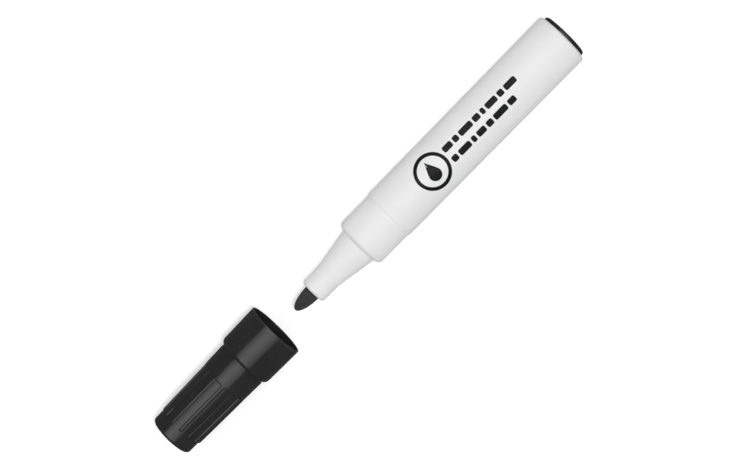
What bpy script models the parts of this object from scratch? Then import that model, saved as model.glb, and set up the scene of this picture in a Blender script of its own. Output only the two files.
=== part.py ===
"""Whiteboard marker with its pull-off cap, built as separate pieces.

The marker lies along X on the plane z = 0, with its tail towards +X and its nib towards -X. The cap
is off and lies on the same axis, in front of the nib, with its mouth towards the nib.

Every piece is placed from the seam, where the nib holder meets the barrel. Along the marker, x runs
from the seam towards the tail. Along the cap, depth runs from the mouth towards the closed end.
"""

import math

import bmesh
import bpy
from mathutils import Matrix, Vector

MM = 0.001

# Barrel: a tube that is open at both ends and a little wider at the tail, for its mould draft
BARREL_LENGTH = 76.85 * MM
BARREL_FRONT_RADIUS = 9.15 * MM
BARREL_DRAFT = 0.22 * MM  # how much the radius grows from front to tail
BARREL_WALL = 1.3 * MM
BARREL_END_ROUNDING = 1.35 * MM
BARREL_EDGE = 0.15 * MM  # small rounding of the front edge
CORE_RIB_COUNT = 6
CORE_RIB_WIDTH = 0.8 * MM
CORE_RIB_ROOT = 0.4 * MM  # how deep the core ribs reach into the wall

# Tail plug: a cup pressed into the back of the barrel
PLUG_DEPTH = 10.0 * MM
PLUG_PROUD = 1.3 * MM  # how far its face stands out of the barrel
PLUG_WALL = 1.2 * MM
PLUG_EDGE = 0.9 * MM

# Nib holder: collar, shoulder, cone and nose outside the barrel, and a spigot inside it
COLLAR_STEP = 0.33 * MM  # the collar is this much smaller in radius than the barrel
COLLAR_LENGTH = 11.72 * MM
SHOULDER_ROUNDING = 1.9 * MM
SHOULDER_FILLET = 0.3 * MM
CONE_LENGTH = 13.46 * MM
CONE_EASE_LENGTH = 1.0 * MM  # the cone starts gently: over this length it
CONE_EASE_RISE = 0.1 * MM  # rises only this much
CONE_BACK_RADIUS = 6.72 * MM
NOSE_RADIUS = 4.52 * MM
NOSE_LENGTH = 6.7 * MM
NOSE_ROUNDING = 0.95 * MM
NOSE_DRAFT = 0.12 * MM
SPIGOT_LENGTH = 9.0 * MM
SPIGOT_WALL = 0.85 * MM
NIB_BORE_LENGTH = 15.0 * MM

# Nib: a fibre rod with a bullet point, and a blunt tail that is pushed into the ink core
NIB_RADIUS = 2.67 * MM
NIB_PROUD = 7.9 * MM
NIB_TIP_ROUNDING = 0.45 * MM
NIB_LENGTH = 38.5 * MM
NIB_TAIL_TAPER = 2.5 * MM
NIB_TAIL_RADIUS = 1.3 * MM

# Ink core with its film sleeve, and the breather tube in a channel along the core
FILM_THICKNESS = 0.15 * MM
FILM_SETBACK = 1.0 * MM  # the core shows this much past the film at each end
TUBE_RADIUS = 0.9 * MM
TUBE_BORE_RADIUS = 0.5 * MM
TUBE_OVERHANG = 2.0 * MM  # how far the tube reaches past the back of the core

# Cap
CAP_RIM_WALL = 0.64 * MM
CAP_COLLAR_DRAFT = 0.25 * MM
CAP_SHOULDER_LENGTH = 1.7 * MM
CAP_GROOVE_SETBACK = 0.72 * MM  # from the step inside the cap to the groove outside it
CAP_GROOVE_WIDTH = 0.8 * MM
CAP_GROOVE_DEPTH = 0.2 * MM
CAP_RING_WALL = 1.36 * MM
CAP_RING_LENGTH = 8.2 * MM
CAP_RING_DRAFT = 0.2 * MM
CAP_GRIP_WALL = 1.43 * MM
CAP_GRIP_STEP = 0.36 * MM  # from the ring down to the floor between the ribs
CAP_END_WALL = 2.25 * MM
CAP_END_ROUNDING = 1.15 * MM
CAP_END_LAND = 4.7 * MM  # plain band between the ribs and the closed end
CAP_MOUTH_EDGE = 0.2 * MM  # rounding of the rim, cut as two flats that meet
CAP_MOUTH_EDGE_MIDDLE = 0.065 * MM  # this far in from its corner

GRIP_RIB_COUNT = 13
GRIP_RIB_FOOT = 1.17 * MM
GRIP_RIB_CREST = 0.63 * MM
GRIP_RIB_RAMP = 0.8 * MM
GRIP_RIB_HEIGHT = 0.42 * MM
GRIP_RIB_END_HEIGHT = 0.1 * MM  # what is left of it where the ramp ends
GRIP_RIB_SINK = 0.04 * MM  # from the ring down to the crest, where a rib leaves the ring
GRIP_RIB_ROOT = 0.18 * MM  # how deep a rib reaches into the cap
GRIP_RIB_TURN = 6.0  # degrees, from straight up towards -Y

# Inner cap: the sealing cup inside the closed end of the cap
INNER_CAP_WALL = 0.9 * MM
INNER_CAP_BASE = 1.2 * MM
INNER_CAP_FOOT = 0.33 * MM  # how far the foot ring stands out of the cup
INNER_CAP_FOOT_LENGTH = 3.0 * MM
INNER_CAP_EDGE = 0.3 * MM  # chamfer of its mouth and of its floor

# Lead-in at the start of a piece that is pressed into another
PRESS_LEAD = 0.4 * MM

# Clearances between the pieces
SEAM_GAP = 0.1 * MM  # nib holder to barrel, along X
SPIGOT_FIT = 0.15 * MM
PLUG_FIT = 0.15 * MM
NIB_FIT = 0.15 * MM
CORE_ROOM = 0.2 * MM  # film to the ribs and to the inside of the spigot
CORE_END_GAP = 0.5 * MM  # core to the nib holder, and to the tail plug
FILM_FIT = 0.1 * MM
TUBE_ROOM = 0.2 * MM
CAP_SLIDE_CLEARANCE = 0.46 * MM  # cap to collar, on the radius
CAP_SEAT_GAP = 0.3 * MM  # mouth of the seated cap to the front of the barrel
SHOULDER_ROOM = 0.4 * MM  # inside of the seated cap to the shoulder
CONE_ROOM = 0.5 * MM
NOSE_SEAL_CLEARANCE = 0.2 * MM
INNER_CAP_FIT = 0.2 * MM
INNER_CAP_END_GAP = 0.3 * MM
NIB_TIP_ROOM = 2.2 * MM

CAP_OFF_GAP = 8.64 * MM  # mouth of the cap to the tip of the nib, with the cap off

# How finely round shapes are cut: enough for close fits, with a flat facet underneath
ROUND_STEPS = 24
SMALL_STEPS = 24
ARC_STEPS = 4
SHOULDER_STEPS = 6
NIB_TIP_STEPS = 2
NIB_POINT_STEPS = 7
SHARP_ANGLE = math.radians(28)
WELD = 0.001 * MM

# Values that follow from the ones above
BARREL_TAIL_RADIUS = BARREL_FRONT_RADIUS + BARREL_DRAFT
BARREL_BORE = BARREL_FRONT_RADIUS - BARREL_WALL
COLLAR_RADIUS = BARREL_FRONT_RADIUS - COLLAR_STEP
SPIGOT_RADIUS = BARREL_BORE - SPIGOT_FIT
HOLDER_CAVITY = SPIGOT_RADIUS - SPIGOT_WALL
FILM_RADIUS = HOLDER_CAVITY - CORE_ROOM
CORE_RADIUS = FILM_RADIUS - FILM_THICKNESS - FILM_FIT
RIB_INNER_RADIUS = FILM_RADIUS + CORE_ROOM
PLUG_RADIUS = BARREL_TAIL_RADIUS - BARREL_END_ROUNDING
NIB_BORE = NIB_RADIUS + NIB_FIT
# The shoulder's rounding can rise no further than the step from the cone to the collar.
SHOULDER_RISE = min(SHOULDER_ROUNDING, COLLAR_RADIUS - CONE_BACK_RADIUS - SHOULDER_FILLET)

SHOULDER_FACE = -(SEAM_GAP + COLLAR_LENGTH + SHOULDER_ROUNDING)
CONE_BACK = SHOULDER_FACE - SHOULDER_FILLET
CONE_FRONT = CONE_BACK - CONE_LENGTH
NOSE_FACE = CONE_FRONT - NOSE_LENGTH
NIB_TIP = NOSE_FACE - NIB_PROUD
NIB_BACK = NIB_TIP + NIB_LENGTH
CORE_FRONT = SHOULDER_FACE + SHOULDER_ROUNDING
CORE_BACK = BARREL_LENGTH - PLUG_DEPTH - CORE_END_GAP
PLUG_FACE = BARREL_LENGTH + PLUG_PROUD
CAP_MOUTH = NIB_TIP - CAP_OFF_GAP

# Depths inside the cap. The seated cap has its mouth at x = -CAP_SEAT_GAP.
CAP_BORE = COLLAR_RADIUS + CAP_SLIDE_CLEARANCE
CAP_MOUTH_RADIUS = CAP_BORE + CAP_RIM_WALL
CAP_MIDDLE_BORE = CONE_BACK_RADIUS + CONE_ROOM
CAP_CORNER = SHOULDER_ROUNDING + SHOULDER_ROOM / 2
CAP_CORNER_RISE = min(SHOULDER_RISE + SHOULDER_ROOM / 2, CAP_BORE - CAP_MIDDLE_BORE)
CAP_STEP_DEPTH = -SHOULDER_FACE - CAP_SEAT_GAP + SHOULDER_ROOM
RING_DEPTH = CAP_STEP_DEPTH + CAP_GROOVE_SETBACK + CAP_GROOVE_WIDTH
GRIP_DEPTH = RING_DEPTH + CAP_RING_LENGTH
INNER_CAP_MOUTH_DEPTH = -CONE_FRONT - CAP_SEAT_GAP + SHOULDER_ROOM
INNER_CAP_FLOOR_DEPTH = -NIB_TIP - CAP_SEAT_GAP + NIB_TIP_ROOM
INNER_CAP_BACK_DEPTH = INNER_CAP_FLOOR_DEPTH + INNER_CAP_BASE
CAP_FLOOR_DEPTH = INNER_CAP_BACK_DEPTH + INNER_CAP_END_GAP
CAP_LENGTH = CAP_FLOOR_DEPTH + CAP_END_WALL

INNER_CAP_BORE = NOSE_RADIUS + NOSE_SEAL_CLEARANCE
INNER_CAP_RADIUS = INNER_CAP_BORE + INNER_CAP_WALL
GRIP_BORE = INNER_CAP_RADIUS + INNER_CAP_FOOT + INNER_CAP_FIT
RING_FRONT_RADIUS = CAP_MIDDLE_BORE + CAP_RING_WALL
RING_BACK_RADIUS = RING_FRONT_RADIUS - CAP_RING_DRAFT
GRIP_FRONT_RADIUS = RING_BACK_RADIUS - CAP_GRIP_STEP
CAP_END_RADIUS = GRIP_BORE + CAP_GRIP_WALL

AXIS_HEIGHT = max(CAP_MOUTH_RADIUS, BARREL_TAIL_RADIUS) * math.cos(math.pi / ROUND_STEPS)
SEAM_X = -(PLUG_FACE + CAP_MOUTH - CAP_LENGTH) / 2  # puts the whole object's middle at x = 0

COLOURS = {
    "white_shell": ((0.84, 0.84, 0.84), 0.30),
    "black_shell": ((0.022, 0.022, 0.024), 0.32),
    "nib_fibre": ((0.035, 0.035, 0.038), 0.90),
    "core_fibre": ((0.12, 0.12, 0.13), 0.95),
    "core_film": ((0.75, 0.78, 0.80), 0.20),
    "tube_plastic": ((0.70, 0.72, 0.72), 0.45),
    "seal_plastic": ((0.62, 0.63, 0.64), 0.50),
}


def material(name):
    """A Principled material with the colour and roughness listed above."""
    colour, roughness = COLOURS[name]
    made = bpy.data.materials.new(name)
    made.use_nodes = True
    shader = made.node_tree.nodes["Principled BSDF"]
    shader.inputs["Base Color"].default_value = (*colour, 1.0)
    shader.inputs["Roughness"].default_value = roughness
    shader.inputs["Metallic"].default_value = 0.0
    return made


def arc(centre, sizes, start, end, steps=ARC_STEPS):
    """Points of an elliptical arc in (x, radius), from one angle in degrees to the other."""
    points = []
    for step in range(steps + 1):
        angle = math.radians(start + (end - start) * step / steps)
        points.append((centre[0] + sizes[0] * math.cos(angle), centre[1] + sizes[1] * math.sin(angle)))
    return points


def to_cap(outline):
    """Turns (depth, radius) points, measured from the cap's mouth, into (x, radius) points."""
    return [(-depth, radius) for depth, radius in outline]


def object_from(bm, name, parent, x):
    """Closes a bmesh into a smooth-shaded object whose origin is on the marker's axis."""
    bmesh.ops.recalc_face_normals(bm, faces=bm.faces)
    mesh = bpy.data.meshes.new(name)
    bm.to_mesh(mesh)
    bm.free()
    mesh.shade_smooth()
    mesh.set_sharp_from_angle(angle=SHARP_ANGLE)
    made = bpy.data.objects.new(name, mesh)
    bpy.context.scene.collection.objects.link(made)
    made.parent = parent
    made.location.x = x
    return made


def turned(name, outline, parent, finish, x=0.0, steps=ROUND_STEPS, hollow=False):
    """Spins an outline of (x, radius) points about X. A hollow outline is a closed loop."""
    start = math.pi / steps  # half a step, so that a facet and not an edge is underneath
    bm = bmesh.new()
    verts = [
        bm.verts.new((along, radius * math.sin(start), radius * math.cos(start)))
        for along, radius in outline
    ]
    pairs = list(zip(verts, verts[1:]))
    if hollow:
        pairs.append((verts[-1], verts[0]))
    edges = [bm.edges.new(pair) for pair in pairs]
    bmesh.ops.spin(
        bm, geom=verts + edges, cent=(0, 0, 0), axis=(1, 0, 0), angle=math.tau, steps=steps, use_merge=True
    )
    bmesh.ops.remove_doubles(bm, verts=bm.verts, dist=WELD)
    made = object_from(bm, name, parent, x)
    made.data.materials.append(finish)
    return made


def lofted_bar(bm, sections):
    """Adds one closed bar through a row of four-cornered sections."""
    rings = [[bm.verts.new(corner) for corner in section] for section in sections]
    for ring, following in zip(rings, rings[1:]):
        for index in range(4):
            after = (index + 1) % 4
            bm.faces.new((ring[index], ring[after], following[after], following[index]))
    bm.faces.new(rings[0])
    bm.faces.new(reversed(rings[-1]))


def bars_around(name, sections, count, parent, x=0.0, turn=0.0):
    """A hidden helper: copies of one bar spread evenly about the X axis."""
    bm = bmesh.new()
    for index in range(count):
        turned_by = Matrix.Rotation(math.radians(turn) + math.tau * index / count, 4, "X")
        lofted_bar(bm, [[turned_by @ Vector(corner) for corner in section] for section in sections])
    helper = object_from(bm, name, parent, x)
    helper.hide_render = True
    helper.display_type = "WIRE"
    return helper


def combine(target, helper, operation):
    boolean = target.modifiers.new(f"{operation.lower()}_{helper.name}", "BOOLEAN")
    boolean.operation = operation
    boolean.solver = "EXACT"
    boolean.object = helper


def bar_section(x, low, high, foot, crest):
    """The four corners of a bar's section at x, from radius low to radius high, pointing up."""
    return [(x, -foot / 2, low), (x, foot / 2, low), (x, crest / 2, high), (x, -crest / 2, high)]


def make_barrel(axis, finish):
    end = BARREL_LENGTH
    rounding = BARREL_END_ROUNDING
    plug_seat = PLUG_RADIUS + PLUG_FIT
    # The corner keeps a narrow flat lip between its rounding and the plug.
    corner_high = BARREL_TAIL_RADIUS - plug_seat - BARREL_EDGE
    corner = arc((end - rounding, BARREL_TAIL_RADIUS - corner_high), (rounding, corner_high), 90, 0)
    outline = [
        (0, BARREL_FRONT_RADIUS - BARREL_EDGE),
        (BARREL_EDGE, BARREL_FRONT_RADIUS),
        *corner,
        (end, plug_seat),
        (end - PLUG_DEPTH - PLUG_FIT, plug_seat),
        (end - PLUG_DEPTH - PLUG_FIT, BARREL_BORE),
        (0, BARREL_BORE),
    ]
    barrel = turned("barrel", outline, axis, finish, hollow=True)
    rib_front = SPIGOT_LENGTH + CORE_END_GAP
    rib_back = end - PLUG_DEPTH - 2 * CORE_END_GAP
    into_wall = BARREL_BORE + CORE_RIB_ROOT
    sections = [
        bar_section(x, RIB_INNER_RADIUS, into_wall, CORE_RIB_WIDTH, CORE_RIB_WIDTH)
        for x in (rib_front, rib_back)
    ]
    combine(barrel, bars_around("core_rib_former", sections, CORE_RIB_COUNT, axis), "UNION")


def make_nib_holder(axis, finish):
    cavity_front = CORE_FRONT - CORE_END_GAP
    bore_back = NOSE_FACE + NIB_BORE_LENGTH
    nose_front_radius = NOSE_RADIUS - NOSE_DRAFT
    nose_corner = arc(
        (NOSE_FACE + NOSE_ROUNDING, nose_front_radius - NOSE_ROUNDING),
        (NOSE_ROUNDING, NOSE_ROUNDING),
        180,
        90,
    )
    fillet = arc(
        (CONE_BACK, CONE_BACK_RADIUS + SHOULDER_FILLET), (SHOULDER_FILLET, SHOULDER_FILLET), 270, 360
    )
    shoulder = arc(
        (SHOULDER_FACE + SHOULDER_ROUNDING, COLLAR_RADIUS - SHOULDER_RISE),
        (SHOULDER_ROUNDING, SHOULDER_RISE),
        180,
        90,
        SHOULDER_STEPS,
    )
    outline = [
        (NOSE_FACE, NIB_BORE),
        *nose_corner,
        (CONE_FRONT, NOSE_RADIUS),
        (CONE_FRONT + CONE_EASE_LENGTH, NOSE_RADIUS + CONE_EASE_RISE),
        *fillet,
        *shoulder,
        (-SEAM_GAP, COLLAR_RADIUS),
        (-SEAM_GAP, SPIGOT_RADIUS),
        (SPIGOT_LENGTH - PRESS_LEAD, SPIGOT_RADIUS),
        (SPIGOT_LENGTH, SPIGOT_RADIUS - PRESS_LEAD),
        (SPIGOT_LENGTH, HOLDER_CAVITY),
        (cavity_front, HOLDER_CAVITY),
        (cavity_front, NIB_BORE + SPIGOT_WALL),
        (bore_back, NIB_BORE),
    ]
    turned("nib_holder", outline, axis, finish, hollow=True)


def make_nib(axis, finish):
    tip_size = (NIB_TIP_ROUNDING, NIB_TIP_ROUNDING)
    tip_round = arc((NIB_TIP + NIB_TIP_ROUNDING, 0), tip_size, 180, 120, NIB_TIP_STEPS)
    round_back, round_radius = tip_round[-1]
    # The point bulges like a bullet: a quarter ellipse from the tip's rounding to the full rod.
    ogive = arc(
        (NOSE_FACE - NIB_FIT, round_radius),
        (NOSE_FACE - NIB_FIT - round_back, NIB_RADIUS - round_radius),
        180,
        90,
        NIB_POINT_STEPS,
    )
    outline = [
        *tip_round,
        *ogive[1:],
        (NIB_BACK - NIB_TAIL_TAPER, NIB_RADIUS),
        (NIB_BACK, NIB_TAIL_RADIUS),
        (NIB_BACK, 0),
    ]
    turned("nib", outline, axis, finish, steps=SMALL_STEPS)


def make_ink_core(axis, finish):
    outline = [
        (CORE_FRONT, NIB_BORE),
        (CORE_FRONT, CORE_RADIUS),
        (CORE_BACK, CORE_RADIUS),
        (CORE_BACK, 0),
        (NIB_BACK + NIB_FIT, 0),
        (NIB_BACK + NIB_FIT, NIB_TAIL_RADIUS + NIB_FIT),
        (NIB_BACK - NIB_TAIL_TAPER + NIB_FIT, NIB_BORE),
    ]
    core = turned("ink_core", [*outline, outline[0]], axis, finish)
    channel_width = 2 * (TUBE_RADIUS + TUBE_ROOM)
    low = CORE_RADIUS - 2 * (TUBE_RADIUS + TUBE_ROOM)
    sections = [
        bar_section(x, low, CORE_RADIUS + TUBE_RADIUS, channel_width, channel_width)
        for x in (CORE_FRONT - TUBE_RADIUS, CORE_BACK + TUBE_RADIUS)
    ]
    combine(core, bars_around("tube_channel_cutter", sections, 1, axis), "DIFFERENCE")


def make_core_film(axis, finish):
    inside = FILM_RADIUS - FILM_THICKNESS
    front, back = CORE_FRONT + FILM_SETBACK, CORE_BACK - FILM_SETBACK
    outline = [(front, inside), (front, FILM_RADIUS), (back, FILM_RADIUS), (back, inside)]
    turned("core_film", outline, axis, finish, hollow=True)


def make_breather_tube(axis, finish):
    front, back = CORE_FRONT, CORE_BACK + TUBE_OVERHANG
    outline = [(front, TUBE_BORE_RADIUS), (front, TUBE_RADIUS), (back, TUBE_RADIUS), (back, TUBE_BORE_RADIUS)]
    tube = turned("breather_tube", outline, axis, finish, steps=SMALL_STEPS // 2, hollow=True)
    tube.location.z = CORE_RADIUS - TUBE_ROOM - TUBE_RADIUS


def make_tail_plug(axis, finish):
    skirt_front = BARREL_LENGTH - PLUG_DEPTH
    cup_floor = BARREL_LENGTH - PLUG_WALL
    inside = PLUG_RADIUS - PLUG_WALL
    edge = arc((PLUG_FACE - PLUG_EDGE, PLUG_RADIUS - PLUG_EDGE), (PLUG_EDGE, PLUG_EDGE), 90, 0)
    outline = [
        (cup_floor, 0),
        (cup_floor, inside - PLUG_EDGE),
        (cup_floor - PLUG_EDGE, inside),
        (skirt_front, inside),
        (skirt_front, PLUG_RADIUS - PRESS_LEAD),
        (skirt_front + PRESS_LEAD, PLUG_RADIUS),
        *edge,
        (PLUG_FACE, 0),
    ]
    turned("tail_plug", outline, axis, finish)


def make_inner_cap(axis, finish):
    foot_radius = INNER_CAP_RADIUS + INNER_CAP_FOOT
    foot_depth = INNER_CAP_BACK_DEPTH - INNER_CAP_FOOT_LENGTH
    outline = [
        (INNER_CAP_FLOOR_DEPTH, 0),
        (INNER_CAP_FLOOR_DEPTH, INNER_CAP_BORE - INNER_CAP_EDGE),
        (INNER_CAP_FLOOR_DEPTH - INNER_CAP_EDGE, INNER_CAP_BORE),
        (INNER_CAP_MOUTH_DEPTH + INNER_CAP_EDGE, INNER_CAP_BORE),
        (INNER_CAP_MOUTH_DEPTH, INNER_CAP_BORE + INNER_CAP_EDGE),
        (INNER_CAP_MOUTH_DEPTH, INNER_CAP_RADIUS),
        (foot_depth, INNER_CAP_RADIUS),
        (foot_depth, foot_radius),
        (INNER_CAP_BACK_DEPTH, foot_radius),
        (INNER_CAP_BACK_DEPTH, 0),
    ]
    return turned("inner_cap", to_cap(outline), axis, finish, x=CAP_MOUTH)


def make_cap(axis, inner_cap, finish):
    shoulder_depth = RING_DEPTH - CAP_GROOVE_WIDTH - CAP_SHOULDER_LENGTH
    shoulder_top = CAP_MOUTH_RADIUS - CAP_COLLAR_DRAFT
    shoulder_drop = shoulder_top - RING_FRONT_RADIUS
    groove_radius = RING_FRONT_RADIUS - CAP_GROOVE_DEPTH
    end_corner = arc(
        (CAP_LENGTH - CAP_END_ROUNDING, CAP_END_RADIUS - CAP_END_ROUNDING),
        (CAP_END_ROUNDING, CAP_END_ROUNDING),
        90,
        0,
    )
    bore_corner = arc(
        (CAP_STEP_DEPTH - CAP_CORNER, CAP_BORE - CAP_CORNER_RISE),
        (CAP_CORNER, CAP_CORNER_RISE),
        0,
        90,
        SHOULDER_STEPS,
    )
    outline = [
        (0, CAP_BORE + CAP_MOUTH_EDGE),
        (0, CAP_MOUTH_RADIUS - CAP_MOUTH_EDGE),
        (CAP_MOUTH_EDGE_MIDDLE, CAP_MOUTH_RADIUS - CAP_MOUTH_EDGE_MIDDLE),
        (CAP_MOUTH_EDGE, CAP_MOUTH_RADIUS),
        *arc(
            (shoulder_depth, RING_FRONT_RADIUS), (CAP_SHOULDER_LENGTH, shoulder_drop), 90, 0, SHOULDER_STEPS
        ),
        (RING_DEPTH - CAP_GROOVE_WIDTH, groove_radius),
        (RING_DEPTH, groove_radius),
        (RING_DEPTH, RING_FRONT_RADIUS),
        (GRIP_DEPTH, RING_BACK_RADIUS),
        (GRIP_DEPTH, GRIP_FRONT_RADIUS),
        (CAP_LENGTH - CAP_END_LAND, CAP_END_RADIUS),
        *end_corner,
        (CAP_LENGTH, 0),
        (CAP_FLOOR_DEPTH, 0),
        (CAP_FLOOR_DEPTH, GRIP_BORE),
        (GRIP_DEPTH, GRIP_BORE),
        (GRIP_DEPTH, CAP_MIDDLE_BORE),
        (CAP_STEP_DEPTH, CAP_MIDDLE_BORE),
        *bore_corner,
        (CAP_MOUTH_EDGE, CAP_BORE),
        (0, CAP_BORE + CAP_MOUTH_EDGE),
    ]
    cap = turned("cap", to_cap(outline), axis, finish, x=CAP_MOUTH)
    add_grip_ribs(cap, axis)
    # The cap turns on the inner cap's axis, so it hangs under it.
    cap.parent = inner_cap
    cap.location.x = 0


def add_grip_ribs(cap, axis):
    end = CAP_LENGTH - CAP_END_LAND
    ramp = end - GRIP_RIB_RAMP
    into_ring = GRIP_DEPTH - CAP_GRIP_STEP
    floor_slope = (GRIP_FRONT_RADIUS - CAP_END_RADIUS) / (end - GRIP_DEPTH)

    def floor(depth):
        return GRIP_FRONT_RADIUS - floor_slope * (depth - GRIP_DEPTH)

    crest_front = RING_BACK_RADIUS - GRIP_RIB_SINK
    crests = (
        (into_ring, floor(GRIP_DEPTH), crest_front),
        (ramp, floor(ramp), floor(ramp) + GRIP_RIB_HEIGHT),
        (end, floor(end), floor(end) + GRIP_RIB_END_HEIGHT),
    )
    sections = [
        bar_section(-depth, low - GRIP_RIB_ROOT, high, GRIP_RIB_FOOT, GRIP_RIB_CREST)
        for depth, low, high in crests
    ]
    former = bars_around("grip_rib_former", sections, GRIP_RIB_COUNT, axis, CAP_MOUTH, GRIP_RIB_TURN)
    combine(cap, former, "UNION")


def main():
    for old in list(bpy.data.objects):
        bpy.data.objects.remove(old, do_unlink=True)
    axis = bpy.data.objects.new("marker_axis", None)
    axis.location = (SEAM_X, 0, AXIS_HEIGHT)
    bpy.context.scene.collection.objects.link(axis)
    finish = {name: material(name) for name in COLOURS}

    make_barrel(axis, finish["white_shell"])
    make_nib_holder(axis, finish["white_shell"])
    make_nib(axis, finish["nib_fibre"])
    make_ink_core(axis, finish["core_fibre"])
    make_core_film(axis, finish["core_film"])
    make_breather_tube(axis, finish["tube_plastic"])
    make_tail_plug(axis, finish["black_shell"])
    inner_cap = make_inner_cap(axis, finish["seal_plastic"])
    make_cap(axis, inner_cap, finish["black_shell"])


main()
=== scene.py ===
# %% [markdown]
# # A whiteboard marker, piece by piece
#
# A marker is a handful of moulded shells on one axis: a white barrel, a white nib holder, a black plug
# at the tail and a black cap with ribs for the fingers. Nearly all of it is turned about that axis, so
# most of this lesson is about one habit: start from a circle, extrude it ring by ring, and round the
# edges afterwards, as a turner would. The cap lies in front of the nib, pulled off.
#
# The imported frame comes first. It holds the plain solids that everything here is fitted to.

# %% Load the frame
import math

import bmesh
import bpy
from mathutils import Matrix, Vector


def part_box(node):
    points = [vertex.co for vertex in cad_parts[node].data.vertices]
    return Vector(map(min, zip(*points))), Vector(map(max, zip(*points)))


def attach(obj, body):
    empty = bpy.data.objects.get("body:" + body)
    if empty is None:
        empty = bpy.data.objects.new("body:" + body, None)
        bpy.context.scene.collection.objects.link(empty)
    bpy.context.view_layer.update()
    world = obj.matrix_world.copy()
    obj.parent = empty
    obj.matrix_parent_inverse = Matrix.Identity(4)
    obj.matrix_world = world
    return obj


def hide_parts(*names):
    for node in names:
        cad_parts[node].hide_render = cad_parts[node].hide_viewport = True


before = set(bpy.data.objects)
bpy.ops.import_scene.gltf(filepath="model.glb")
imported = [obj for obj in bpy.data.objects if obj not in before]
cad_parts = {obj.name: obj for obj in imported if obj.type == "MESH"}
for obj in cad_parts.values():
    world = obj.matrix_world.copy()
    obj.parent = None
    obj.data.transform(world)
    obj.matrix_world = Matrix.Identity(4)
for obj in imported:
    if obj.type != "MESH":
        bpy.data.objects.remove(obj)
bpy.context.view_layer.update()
print("solids in the frame:", ", ".join(sorted(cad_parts)))

# %% [markdown]
# Every place along the marker is read from the frame, so the looks can't drift away from the solids.
# The solids are cut with 24 flat facets, and a true circle round them is a little larger than the
# distance between two flats, so a radius is worked out from the width of a node and the facet's angle.
# Every other size here is a wall, a rounding or a length inside one piece, in millimetres.

# %% Places along the axis
MM = 0.001
FACETS = 24
SEAM_GAP = 0.03 * MM


def span(node):
    """Where a node starts and ends along X."""
    low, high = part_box(node)
    return low.x, high.x


def widest(node):
    """The true radius round a node's facets."""
    low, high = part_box(node)
    return (high.y - low.y) / 2 / math.cos(math.pi / FACETS)


barrel_low, barrel_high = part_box("barrel")
AXIS = (barrel_low.z + barrel_high.z) / 2
SEAM, TAIL = span("barrel")
NOSE_FACE, SPIGOT_END = span("nib_holder")
COLLAR_END = SEAM - SEAM_GAP
NIB_TIP, NIB_BACK = span("nib")
PLUG_FRONT, PLUG_FACE = span("tail_plug")
CAP_END, CAP_MOUTH = span("cap")
CUP_BACK, CUP_MOUTH = span("inner_cap")
TAIL_RADIUS = widest("barrel")
COLLAR_RADIUS = widest("nib_holder")
PLUG_RADIUS = widest("tail_plug")
MOUTH_RADIUS = widest("cap")
NIB_RADIUS = widest("nib")
CAP_LENGTH = CAP_MOUTH - CAP_END
print(f"axis {AXIS / MM:.2f} mm up, barrel {(TAIL - SEAM) / MM:.1f} mm, cap {CAP_LENGTH / MM:.1f} mm")

# %% [markdown]
# Three helpers do most of the modelling. `pick` selects parts of a mesh by their place. `turned`
# extrudes a circle through a list of stations, each a place along the axis and a radius. `soften`
# bevels the ring at one station, which is how a sharp corner becomes a moulded one.
#
# The Screw modifier could turn the same outline in one step. Extruding rings was chosen because each
# ring stays a clean loop of edges, so a later bevel finds it by its place.

# %% Modelling helpers
COLUMNS = 144
SMALL_COLUMNS = 96
NEAR = 0.004 * MM


def radius_of(point):
    return math.hypot(point.y, point.z - AXIS)


def pick(piece, kind, test):
    """Leaves the piece in edit mode with just those vertices, edges or faces selected that pass."""
    bpy.ops.object.mode_set(mode="OBJECT")
    mesh = piece.data
    for group in (mesh.polygons, mesh.edges, mesh.vertices):
        group.foreach_set("select", [False] * len(group))
    for item in getattr(mesh, kind):
        corners = [item.co] if kind == "vertices" else [mesh.vertices[v].co for v in item.vertices]
        item.select = test(corners)
    bpy.ops.object.mode_set(mode="EDIT")
    mode = {"vertices": "VERT", "edges": "EDGE", "polygons": "FACE"}[kind]
    bpy.ops.mesh.select_mode(type=mode)


def start_circle(name, x, radius, columns):
    """A ring of vertices about the axis, in edit mode with all of it selected."""
    bpy.ops.object.select_all(action="DESELECT")
    bpy.ops.mesh.primitive_circle_add(
        vertices=columns, radius=radius, location=(x, 0, AXIS), rotation=(0, math.pi / 2, 0)
    )
    piece = bpy.context.object
    piece.name = piece.data.name = name
    bpy.ops.object.transform_apply(location=True, rotation=True, scale=True)
    bpy.ops.object.mode_set(mode="EDIT")
    bpy.ops.mesh.select_all(action="SELECT")
    return piece


def turned(name, stations, columns=COLUMNS, closed=False):
    """Extrudes a circle through (x, radius) stations. A closed outline comes back to its start."""
    piece = start_circle(name, *stations[0], columns)
    around = [*stations, stations[0]] if closed else stations
    for (x, radius), (next_x, next_radius) in zip(around, around[1:]):
        bpy.ops.mesh.extrude_edges_move(TRANSFORM_OT_translate={"value": (next_x - x, 0, 0)})
        grown = next_radius / radius
        bpy.ops.transform.resize(value=(1, grown, grown), center_override=(next_x, 0, AXIS))
    bpy.ops.mesh.select_all(action="SELECT")
    bpy.ops.mesh.remove_doubles(threshold=NEAR / 4)
    return piece


def cap_off(piece, x, radius):
    """Closes the ring at one station with a flat face."""
    pick(piece, "edges", lambda ends: all(on_ring(end, x, radius) for end in ends))
    bpy.ops.mesh.edge_face_add()


def on_ring(point, x, radius):
    return abs(point.x - x) < NEAR and abs(radius_of(point) - radius) < NEAR


def soften(piece, x, radius, width, segments=6):
    """Rounds the corner at one ring."""
    pick(piece, "edges", lambda ends: all(on_ring(end, x, radius) for end in ends))
    bpy.ops.mesh.bevel(offset=width, segments=segments, affect="EDGES", profile=0.5)


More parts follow.
